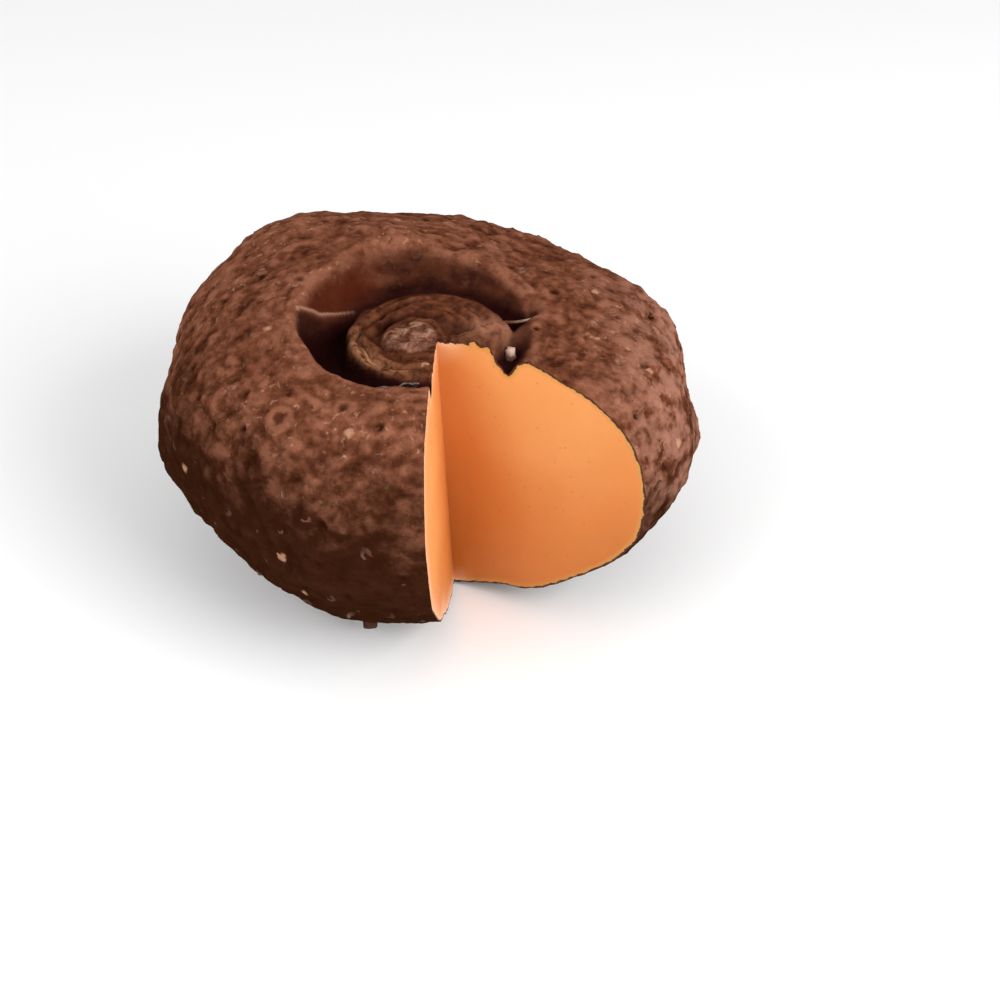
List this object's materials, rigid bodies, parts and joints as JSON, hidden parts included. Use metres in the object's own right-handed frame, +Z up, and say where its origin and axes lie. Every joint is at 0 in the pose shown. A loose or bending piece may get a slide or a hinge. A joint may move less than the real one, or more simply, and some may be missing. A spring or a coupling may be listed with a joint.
{
  "type": "elephant foot yam",
  "caption": "Squat round elephant foot yam corm, rough brown skin, ring-shaped crown ditch round the bud scar, one wedge cut out to show orange flesh.",
  "frame": {"origin": "on the ground, under the middle of the corm's bounding box", "axes": "+Z up, through the crown; the cut wedge opens to -Y and +X"},
  "size_m": [0.2485, 0.2452, 0.1473],
  "materials": {
    "corm": "rough, dry brown corky skin, with smooth moist orange flesh where it is cut"
  },
  "bodies": {
    "root": {"corm": "corm"}
  },
  "joints": []
}
